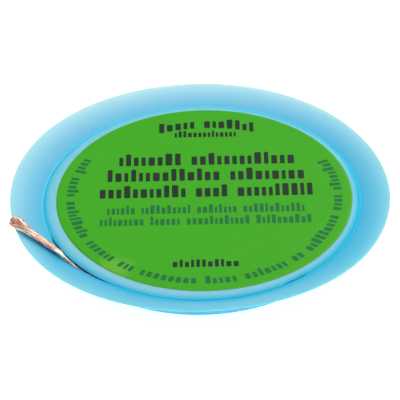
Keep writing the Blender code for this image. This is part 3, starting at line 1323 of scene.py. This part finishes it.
@dataclass
class LabelPrint:
    """The generic print: rows of plain bars in groups, and one ring of small bars near the edge.

    Attributes:
        shape: Sizes of the spool.
        disc: The label that carries the print.
        seed: Start of the bars' uneven sizes.
        proud: How far the ink stands above and below the label's upper side.
        narrowest: Width of the narrowest bar, in units of the widest.
        bar_gap: Gap between two bars, in the same units.
        group_gap: Gap between two groups.
        tall_share: Share of the bars that are tall.
        short: Height of a short bar, in units of a tall one.
        corner: Rounding of a bar, in units of its smaller half size.
        ring_radius: Radius of the ring of bars.
        ring_height: Height of its tallest bars.
        ring_from: Bearing at which the ring starts.
        ring_to: Bearing at which it ends.
        ring_words: Number of bars in each of its groups.
        rows: The straight and bowed rows.
    """

    shape: SpoolShape
    disc: LabelDisc
    seed: int = 7
    proud: float = 0.000010
    narrowest: float = 0.55
    bar_gap: float = 0.42
    group_gap: float = 1.6
    tall_share: float = 0.34
    short: float = 0.72
    corner: float = 0.42
    ring_radius: float = 0.0173
    ring_height: float = 0.0015
    ring_from: float = math.radians(151)
    ring_to: float = math.radians(385)
    ring_words: tuple[int, ...] = (4, 5, 9, 6, 3, 8, 5, 7, 2, 9, 4, 8)
    rows: tuple[PrintRow, ...] = (
        PrintRow(RowInk.DARK, 0.0162, -0.0059, 0.0068, 0.0021, (5, 7), bow=0.0011),
        PrintRow(RowInk.DARK, 0.0138, -0.0038, 0.0044, 0.0014, (14,)),
        PrintRow(RowInk.DARK, 0.0082, -0.0112, 0.0120, 0.0026, (8, 13)),
        PrintRow(RowInk.DARK, 0.0048, -0.0127, 0.0132, 0.0026, (14, 9)),
        PrintRow(RowInk.DARK, 0.00125, -0.0137, 0.0142, 0.0026, (11, 4, 10)),
        PrintRow(RowInk.GREEN, -0.0026, -0.0127, 0.0130, 0.0018, (6, 10, 8, 12)),
        PrintRow(RowInk.GREEN, -0.0050, -0.0136, 0.0138, 0.0018, (9, 6, 12, 10)),
        PrintRow(RowInk.DARK, -0.0139, -0.0042, 0.0042, 0.0015, (11,)),
    )

    def bars(self, row: PrintRow, rng: np.random.Generator) -> np.ndarray:
        """Middles, widths and heights of a row's bars, with a gap after each group.

        Args:
            row: The row.
            rng: Source of the bars' uneven sizes.

        Returns:
            Rows of x, y, half width and half height, in the label's own plane.
        """
        count = sum(row.words)
        widths = rng.uniform(self.narrowest, 1.0, count)
        ends = np.cumsum(row.words)[:-1] - 1
        gaps = np.full(count, self.bar_gap)
        gaps[ends] = self.group_gap
        gaps[-1] = 0.0
        unit = (row.end - row.start) / (widths.sum() + gaps.sum())
        left = row.start + unit * (np.cumsum(widths + gaps) - widths - gaps)
        tall = rng.random(count) < self.tall_share
        half = row.height / 2 * np.where(tall, 1.0, self.short)
        middle = row.middle - row.height / 2 + half
        x = left + unit * widths / 2
        share = (x - (row.start + row.end) / 2) / ((row.end - row.start) / 2)
        return np.stack([x, middle - row.bow * share**2, unit * widths / 2, half], 1)

    def blocks(self, bars: np.ndarray, turn: np.ndarray) -> Surface:
        """Thin rounded blocks: an outline of four quarter circles, a top fan, sides and a bottom fan.

        Args:
            bars: Rows of x, y, half width and half height.
            turn: Angle of each bar in the label's plane.

        Returns:
            The closed blocks, standing a little proud of the label.
        """
        corner = np.minimum(bars[:, 2], bars[:, 3])[:, None] * self.corner
        steps = np.linspace(0, math.pi / 2, 4)
        around = np.concatenate([steps + k * math.pi / 2 for k in range(4)])[None]
        quarter = np.repeat(np.arange(4), 4)[None]
        sign_x = np.where((quarter == 0) | (quarter == 3), 1.0, -1.0)
        sign_y = np.where(quarter < 2, 1.0, -1.0)
        u = sign_x * (bars[:, 2:3] - corner) + corner * np.cos(around)
        v = sign_y * (bars[:, 3:4] - corner) + corner * np.sin(around)
        u = np.concatenate([u, np.zeros((len(bars), 1))], 1)
        v = np.concatenate([v, np.zeros((len(bars), 1))], 1)
        cos, sin = np.cos(turn)[:, None], np.sin(turn)[:, None]
        x = bars[:, 0:1] + u * cos - v * sin + self.shape.label_shift
        y = bars[:, 1:2] + u * sin + v * cos
        z = self.disc.height(x, y)
        sides = 16
        top = np.stack([x, y, z + self.proud], -1)
        low = np.stack([x, y, z - self.proud], -1)
        places = np.concatenate([top, low], 1).reshape(-1, 3)
        start = (np.arange(len(bars)) * 2 * (sides + 1))[:, None]
        here, there = np.arange(sides)[None], ((np.arange(sides) + 1) % sides)[None]
        down = sides + 1
        quads = np.stack([start + here, start + here + down, start + there + down, start + there], -1)
        tops = np.stack([start + here, start + there, start + sides + 0 * here], -1)
        lows = np.stack([start + there + down, start + here + down, start + sides + down + 0 * here], -1)
        fans = np.concatenate([tops.reshape(-1, 3), lows.reshape(-1, 3)])
        return Surface(places, quads.reshape(-1, 4), fans, flat=True).outwards()

    def ring(self, rng: np.random.Generator) -> tuple[np.ndarray, np.ndarray]:
        """Bars of the ring row, each turned to stand on the ring.

        Args:
            rng: Source of the bars' uneven sizes.

        Returns:
            The bars and their turns.
        """
        flat = PrintRow(RowInk.GREEN, 0.0, self.ring_from, self.ring_to, 1.0, self.ring_words)
        bars = self.bars(flat, rng)
        angle = bars[:, 0]
        radius = self.ring_radius - bars[:, 1] * self.ring_height
        half_width, half_height = bars[:, 2] * self.ring_radius, bars[:, 3] * self.ring_height
        spread = [radius * np.cos(angle), radius * np.sin(angle), half_width, half_height]
        return np.stack(spread, 1), angle + math.pi / 2

    def build(self, inks: dict[RowInk, bpy.types.Material]) -> list[Piece]:
        """The dark rows and the green rows, each as one piece.

        Args:
            inks: Material of each ink.

        Returns:
            The two pieces.
        """
        rng = np.random.default_rng(self.seed)
        rows = {ink: [] for ink in RowInk}
        for row in self.rows:
            bars = self.bars(row, rng)
            rows[row.ink].append((bars, np.zeros(len(bars))))
        rows[RowInk.GREEN].append(self.ring(rng))
        pieces = []
        for ink, sets in rows.items():
            bars = np.concatenate([bar for bar, _ in sets])
            turn = np.concatenate([angle for _, angle in sets])
            name = f"label_print_{ink.value}"
            pieces.append(Piece(name, self.blocks(bars, turn), inks[ink], "green_label"))
        return pieces


@dataclass
class CoilTurns:
    """The wound braid: one long flat strip in a spiral, with its woven edge standing on both ends.

    Attributes:
        shape: Sizes of the spool.
        steps_a_turn: Stations in a turn of the spiral.
        bundles: Woven bundles along the edge, a metre.
        scallop: How far the edge rises and falls.
        thickness_share: Share of the braid's thickness that the strip fills.
        tone_pace: Change of the wires' tone, in radians a metre.
    """

    shape: SpoolShape
    steps_a_turn: int = 150
    bundles: float = 620.0
    scallop: float = 0.00006
    thickness_share: float = 0.97
    tone_pace: float = 900.0

    def build(self, material: bpy.types.Material) -> Piece:
        """Sweeps the strip's section along r = inner + pitch * turns, with scalloped edges.

        The strip's edges rise and fall by the size of a sine of the length, as the woven bundles do.

        Args:
            material: The wound copper.

        Returns:
            The piece.
        """
        s = self.shape
        inner, outer = s.coil_inner, s.coil_outer
        turns = round((outer - inner) / (s.braid_thickness + s.turn_slack))
        pitch = (outer - inner) / turns
        angle = np.linspace(0, 2 * math.pi * (turns - 1), self.steps_a_turn * (turns - 1) + 1)
        radius = inner + s.braid_thickness / 2 + pitch * angle / (2 * math.pi)
        length = np.cumsum(np.append(0, radius[1:] * np.diff(angle)))
        middle = (s.coil_bottom + s.coil_top) / 2
        path = np.stack([radius * np.cos(angle), radius * np.sin(angle), np.full_like(angle, middle)], 1)
        across = np.stack([np.cos(angle), np.sin(angle), 0 * angle], 1)
        upwards = np.broadcast_to(np.array([0.0, 0.0, 1.0]), path.shape)
        wave = np.abs(np.sin(length * math.pi * self.bundles / 2))[:, None]
        half_section = np.array([(1, -0.86), (1, 0), (1, 0.86), (0.55, 0.97), (0, 1), (-0.55, 0.97)])
        section = np.concatenate([half_section, -half_section])
        x = section[None, :, 0] * s.braid_thickness / 2 * self.thickness_share
        y = section[None, :, 1] * (s.braid_width / 2 - self.scallop * wave)
        surface = tube(path, across, upwards, np.stack([x + 0 * y, y], -1))
        count = len(section)
        tone = np.repeat(0.5 + 0.5 * np.sin(length * self.tone_pace), count)
        # Painted shade: darker where the strip's edge dips between the woven bundles.
        depth = np.repeat(1 - wave[:, 0], count) * 0.5
        surface.tones = {
            "wire_tone": np.append(tone, [0.5, 0.5]),
            "depth_tone": np.append(depth, [0.5, 0.5]),
        }
        return Piece("coil_turns", surface, material, "copper_braid", "braid_coil")


@dataclass(frozen=True)
class BraidPath:
    """The free end's middle line, one row a station.

    Attributes:
        middle: Places of the middle line.
        width_way: Direction of the strip's width.
        thick_way: Direction of its thickness.
        size: Width and thickness.
        length: Length from the first station.
    """

    middle: np.ndarray
    width_way: np.ndarray
    thick_way: np.ndarray
    size: np.ndarray
    length: np.ndarray

    def near_end(self, run: float) -> np.ndarray:
        """A soft rise from 0 to 1 over the last run of the length."""
        return smooth((self.length - (self.length[-1] - run)) / run)


@dataclass
class BraidEnd:
    """The braid's free end: interlaced bundles of fine wires on a flattened tube, opened at the cut.

    Attributes:
        shape: Sizes of the spool.
        route: Bearing, radius, height of the middle, lean from upright, width and thickness, in degrees and
            mm. The braid stands on edge beside the coil, leans onto the wall, comes up through the slit
            and lies over the flange.
        slit_row: The row of the route at which it comes up through the slit.
        seed: Start of the wires' uneven places.
        carriers: Bundles of each hand.
        wires: Wires in a bundle.
        wire_radius: Radius of a wire.
        wire_fill: How much thicker a wire is drawn, so that neighbours touch.
        bundle_fill: Share of the girth that the bundles of one hand cover.
        lay: Length in which a bundle goes once round.
        lift: How far a bundle rises and sinks where it crosses others.
        steepness: How abruptly it does so.
        crown: How far a bundle's outer wires lie below its middle ones.
        wander: Unevenness of a wire's place, as a share of the girth.
        ripple: The same for its fine waves.
        free_run: Length over which the wires wander.
        open_run: Length over which the end opens.
        open_low: Least opening of a wire.
        open_high: Greatest opening.
        open_fan: Share by which the end is wider.
        open_rise: Greatest rise of a wire at the end.
        round_end: How much shorter the outermost wires are.
        round_power: Bluntness of the rounded end.
        uneven_end: Unevenness of the cut.
        hidden_steps: Stations before the slit.
        open_steps: Stations after it.
        sides: Sides of a wire.
    """

    shape: SpoolShape
    route: tuple[tuple[float, float, float, float, float, float], ...] = (
        (285.0, 18.46, 1.86, 0.0, 2.20, 0.45),
        (276.0, 18.66, 1.86, 6.0, 2.20, 0.45),
        (267.0, 19.05, 1.84, 18.0, 2.20, 0.45),
        (258.0, 19.40, 1.81, 30.0, 2.20, 0.45),
        (249.6, 19.50, 1.80, 34.3, 2.20, 0.45),
        (241.8, 19.48, 1.78, 34.6, 2.20, 0.45),
        (234.3, 19.38, 1.72, 36.0, 2.17, 0.44),
        (226.9, 19.26, 1.66, 37.1, 2.05, 0.42),
        (219.1, 20.17, 2.27, 38.2, 1.75, 0.38),
        (212.3, 21.10, 3.51, 42.4, 1.60, 0.44),
        (205.7, 21.91, 4.01, 60.0, 1.75, 0.48),
        (199.8, 23.12, 4.45, 59.8, 2.05, 0.47),
        (195.5, 24.06, 4.58, 73.8, 2.20, 0.45),
        (191.9, 24.98, 4.85, 87.0, 2.20, 0.45),
    )
    slit_row: int = 8
    seed: int = 11
    carriers: int = 9
    wires: int = 4
    wire_radius: float = 0.00005
    wire_fill: float = 1.02
    bundle_fill: float = 0.72
    lay: float = 0.0260
    lift: float = 0.00005
    steepness: float = 2.2
    crown: float = 0.00006
    wander: float = 0.012
    ripple: float = 0.004
    free_run: float = 0.0110
    open_run: float = 0.0030
    open_low: float = 0.00001
    open_high: float = 0.00008
    open_fan: float = 0.06
    open_rise: float = 0.00012
    round_end: float = 0.0011
    round_power: float = 2.2
    uneven_end: float = 0.0003
    hidden_steps: int = 36
    open_steps: int = 116
    sides: int = 5

    def stations(self) -> tuple[np.ndarray, np.ndarray, np.ndarray]:
        """The route as a smooth curve, close-stepped where it can be seen.

        Returns:
            Places, leans in radians, and widths with thicknesses, one row a station.
        """
        table = np.array(self.route)
        bearing = np.radians(table[:, 0])
        plan = np.stack([np.cos(bearing), np.sin(bearing)], 1) * table[:, 1:2]
        rows = np.concatenate([plan, table[:, 2:]], 1)
        hidden = np.linspace(0, self.slit_row, self.hidden_steps, endpoint=False)
        shown = np.linspace(self.slit_row, len(rows) - 1, self.open_steps)
        curve = threaded(rows, np.concatenate([hidden, shown]))
        return curve[:, :3] * MM, np.radians(curve[:, 3]), curve[:, 4:] * MM

    def flattened(self, around: np.ndarray, size: np.ndarray) -> tuple[np.ndarray, ...]:
        """A place and its outward direction on the flattened tube, by share of its girth.

        The section is two straight sides joined by two half circles, walked at an even pace.

        Args:
            around: Share of the girth at each station, any number of turns.
            size: Width and thickness at each station.

        Returns:
            Place across the width, place through the thickness, and the outward direction's two parts.
        """
        width, thick = size[:, 0], size[:, 1]
        bend = thick / 2 - self.wire_radius - self.lift * thick / self.shape.braid_thickness
        straight = width - thick
        walked = (around % 1.0) * (2 * straight + 2 * math.pi * bend)
        second = walked - straight - math.pi * bend
        u = np.where(walked < straight, walked - straight / 2, straight / 2)
        u = np.where(second > 0, straight / 2 - second, u)
        u = np.where(second > straight, -straight / 2, u)
        turn = np.where(walked < straight, 0.0, (walked - straight) / bend)
        turn = np.where(second > 0, math.pi, turn)
        turn = np.where(second > straight, math.pi + (second - straight) / bend, turn)
        out_u, out_v = np.sin(turn), np.cos(turn)
        return u + bend * out_u, bend * out_v, out_u, out_v

    def path(self) -> BraidPath:
        """The middle line with its directions.

        The width leans from upright, outwards, by the lean, and is kept square to the run. The thickness is
        square to both.

        Returns:
            The path.
        """
        middle, lean, size = self.stations()
        length = np.append(0, np.cumsum(np.linalg.norm(np.diff(middle, axis=0), axis=1)))
        tangent = np.gradient(middle, length, axis=0)
        out = np.stack([tangent[:, 1], -tangent[:, 0], 0 * lean], 1)
        out /= np.linalg.norm(out, axis=1)[:, None]
        out *= np.sign((out * middle).sum(1))[:, None]
        tangent /= np.linalg.norm(tangent, axis=1)[:, None]
        width_way = out * np.sin(lean)[:, None] + np.array([0.0, 0.0, 1.0]) * np.cos(lean)[:, None]
        width_way -= tangent * (width_way * tangent).sum(1)[:, None]
        width_way /= np.linalg.norm(width_way, axis=1)[:, None]
        return BraidPath(middle, width_way, np.cross(width_way, tangent), size, length)

    def wire(
        self, path: BraidPath, bundle: tuple[int, int], number: int, rng: np.random.Generator
    ) -> Surface:
        """One wire: a helix on the flattened tube that passes over and under the bundles of the other hand.

        Its share of the girth moves by the length over the lay. It meets the other hand every half bundle,
        and rides two over and two under by a flattened sine.

        Args:
            path: The braid's middle line.
            bundle: The bundle's hand, 1 or -1, and its number.
            number: The wire's number in its bundle.
            rng: Source of its uneven places.

        Returns:
            The wire as a closed tube, with painted shade, by how far it runs under the others, as a tone.
        """
        hand, carrier = bundle
        length, total = path.length, path.length[-1]
        near_end = path.near_end(self.open_run)
        wander = rng.uniform(-self.wander, self.wander) * path.near_end(self.free_run)
        wander = wander + self.ripple * np.sin(length * rng.uniform(700, 1300) + rng.uniform(0, 6))
        off_middle = number - (self.wires - 1) / 2
        pitch = self.bundle_fill / self.carriers / self.wires
        share = carrier / self.carriers + hand * length / self.lay + off_middle * pitch + wander
        phase = (2 * carrier + hand * 2 * length / self.lay * self.carriers + 0.5) / 4
        wave = np.tanh(self.steepness * np.sin(2 * math.pi * phase)) * hand * self.lift
        wave = wave - self.crown * (off_middle / (self.wires / 2)) ** 2
        squeezed = wave * path.size[:, 1] / self.shape.braid_thickness
        u, v, out_u, out_v = self.flattened(share, path.size)
        spread = near_end * rng.uniform(self.open_low, self.open_high)
        u = u + out_u * (squeezed + spread)
        v = v + out_v * (squeezed + spread * 0.7)
        wider = 1.0 + self.open_fan * near_end
        line = path.middle + path.width_way * (u * wider)[:, None] + path.thick_way * v[:, None]
        line[:, 2] += near_end * rng.uniform(0, self.open_rise)
        shorter = self.round_end * abs(u[-1] / (self.shape.braid_width / 2)) ** self.round_power
        shorter += rng.uniform(0, self.uneven_end)
        stop = min(int(np.searchsorted(length, total - shorter)) + 1, len(line))
        line = line[:stop]
        way = np.gradient(line, axis=0)
        way /= np.linalg.norm(way, axis=1)[:, None]
        first = np.cross(way, path.width_way[:stop])
        first /= np.linalg.norm(first, axis=1)[:, None] + 1e-12
        ring = np.arange(self.sides) * 2 * math.pi / self.sides
        section = np.stack([np.cos(ring), np.sin(ring)], 1) * self.wire_radius * self.wire_fill
        surface = tube(line, first, np.cross(way, first), section)
        # Painted shade: darker where the wire runs under the crossing bundles.
        under = clamp(0.35 - 0.65 * wave / (self.lift + self.crown))[:stop]
        surface.tones["depth_tone"] = np.append(np.repeat(under, self.sides), [0.6, 0.0])
        return surface

    def build(self, material: bpy.types.Material) -> Piece:
        """Every wire of both hands, each with a tone near its bundle's.

        Args:
            material: The bright copper.

        Returns:
            The piece.
        """
        rng = np.random.default_rng(self.seed)
        path = self.path()
        tubes = []
        for hand in (1, -1):
            for carrier in range(self.carriers):
                bundle_tone = rng.choice([-0.42, -0.1, 0.2, 0.4])
                for number in range(self.wires):
                    wire = self.wire(path, (hand, carrier), number, rng)
                    tone = clamp(0.55 + bundle_tone + rng.uniform(-0.12, 0.12))
                    wire.tones["wire_tone"] = np.full(len(wire.places), tone)
                    tubes.append(wire)
        return Piece("braid_end", Surface.joined(tubes), material, "copper_braid_end", "braid_tail")


# Studio


@dataclass(frozen=True)
class SoftLight:
    """A square white light that faces the object.

    Attributes:
        name: Name of the light.
        place: Where it hangs.
        size: Length of its side.
        power: Its power in watts.
    """

    name: str
    place: tuple[float, float, float]
    size: float
    power: float

    def hang(self) -> None:
        """Puts the light into the scene, turned to the origin."""
        data = bpy.data.lights.new(self.name, "AREA")
        data.shape = "SQUARE"
        data.size, data.energy = self.size, self.power
        obj = bpy.data.objects.new(self.name, data)
        obj.location = self.place
        obj.rotation_euler = (-Vector(self.place)).to_track_quat("-Z", "Y").to_euler()
        bpy.context.scene.collection.objects.link(obj)


@dataclass
class Studio:
    """White floor, soft overhead light and the camera of the photograph.

    Attributes:
        distance: Distance of the camera.
        elevation: How far up it stands.
        roll: Its roll.
        pixels_a_metre: Scale of the photograph at the object.
        frame_pixels: Width of the photograph.
        origin_pixel: Where the origin falls in it.
        sensor: Width of the camera's sensor in mm.
        floor_reach: Half the side of the floor.
        sky: Strength of the even light from all round.
        lights: The soft lights.
    """

    distance: float = 0.400
    elevation: float = math.radians(37.96)
    roll: float = math.radians(1.1)
    pixels_a_metre: float = 7598.8
    frame_pixels: float = 400.0
    origin_pixel: tuple[float, float] = (200.65, 219.66)
    sensor: float = 36.0
    floor_reach: float = 2.0
    sky: float = 0.42
    lights: tuple[SoftLight, ...] = (
        SoftLight("key_light", (0.03, 0.06, 0.47), 0.42, 1.42),
        SoftLight("side_light", (0.20, 0.38, 0.27), 0.22, 0.40),
    )

    def camera(self) -> bpy.types.Object:
        """The camera, aimed so that the origin falls on its pixel of the photograph.

        Returns:
            The camera's object.
        """
        data = bpy.data.cameras.new("photo_camera")
        data.sensor_width = self.sensor
        data.lens = self.sensor * self.pixels_a_metre * self.distance / self.frame_pixels
        data.clip_start, data.clip_end = 0.01, 20.0
        obj = bpy.data.objects.new("photo_camera", data)
        bpy.context.scene.collection.objects.link(obj)
        place = Vector((0, -math.cos(self.elevation), math.sin(self.elevation))) * self.distance
        right, up = Vector((1, 0, 0)), Vector((0, math.sin(self.elevation), math.cos(self.elevation)))
        dx = self.origin_pixel[0] - self.frame_pixels / 2
        dy = self.origin_pixel[1] - self.frame_pixels / 2
        u = dx * math.cos(self.roll) - dy * math.sin(self.roll)
        v = dx * math.sin(self.roll) + dy * math.cos(self.roll)
        target = right * (-u / self.pixels_a_metre) + up * (v / self.pixels_a_metre)
        back = (place - target).normalized()
        side = Vector((0, 0, 1)).cross(back).normalized()
        above = back.cross(side)
        turned_side = side * math.cos(self.roll) - above * math.sin(self.roll)
        turned_up = side * math.sin(self.roll) + above * math.cos(self.roll)
        basis = Matrix((turned_side, turned_up, back)).transposed()
        obj.matrix_world = Matrix.Translation(place) @ basis.to_4x4()
        bpy.context.scene.camera = obj
        return obj

    def build(self, floor_material: bpy.types.Material) -> None:
        """Floor, even light, soft lights and camera.

        Args:
            floor_material: The floor's finish.
        """
        corners = np.array([(-1, -1, 0), (1, -1, 0), (1, 1, 0), (-1, 1, 0)]) * self.floor_reach
        floor = Surface(corners, np.array([[0, 1, 2, 3]])).to_object("studio_floor")
        floor.data.materials.append(floor_material)
        world = bpy.data.worlds.new("studio_world")
        bpy.context.scene.world = world
        world.use_nodes = True
        background = world.node_tree.nodes["Background"]
        background.inputs["Color"].default_value = (1.0, 1.0, 1.0, 1.0)
        background.inputs["Strength"].default_value = self.sky
        for light in self.lights:
            light.hang()
        self.camera()
        bpy.context.scene.view_settings.view_transform = "Standard"


def main() -> None:
    """Builds the pieces in order, then the studio."""
    logging.basicConfig(level=logging.INFO, format="%(name)s: %(message)s")
    shape = SpoolShape()
    dish_plastic = SatinPlastic("dish_plastic", DISH_TONES).build()
    cap_plastic = SatinPlastic("cap_plastic", CAP_TONES).build()
    film = PrintedFilm().build()
    inks = {
        RowInk.DARK: PrintInk("dark_ink", (0.002, 0.018, 0.006), (0.006, 0.045, 0.012)).build(),
        RowInk.GREEN: PrintInk("green_ink", (0.000, 0.160, 0.030), (0.004, 0.250, 0.032)).build(),
    }
    copper = BraidCopper("braid_copper").build()
    coil_copper = BraidCopper("coil_copper", roughness=0.33).build()

    disc = LabelDisc(shape)
    pieces = [
        DishShell(shape).build(dish_plastic),
        CapShell(shape).build(cap_plastic),
        disc.build(film),
        *LabelPrint(shape, disc).build(inks),
        CoilTurns(shape).build(coil_copper),
        BraidEnd(shape).build(copper),
    ]
    for piece in pieces:
        piece.place()
    Studio().build(PaleFloor().build())


if __name__ == "__main__":
    main()
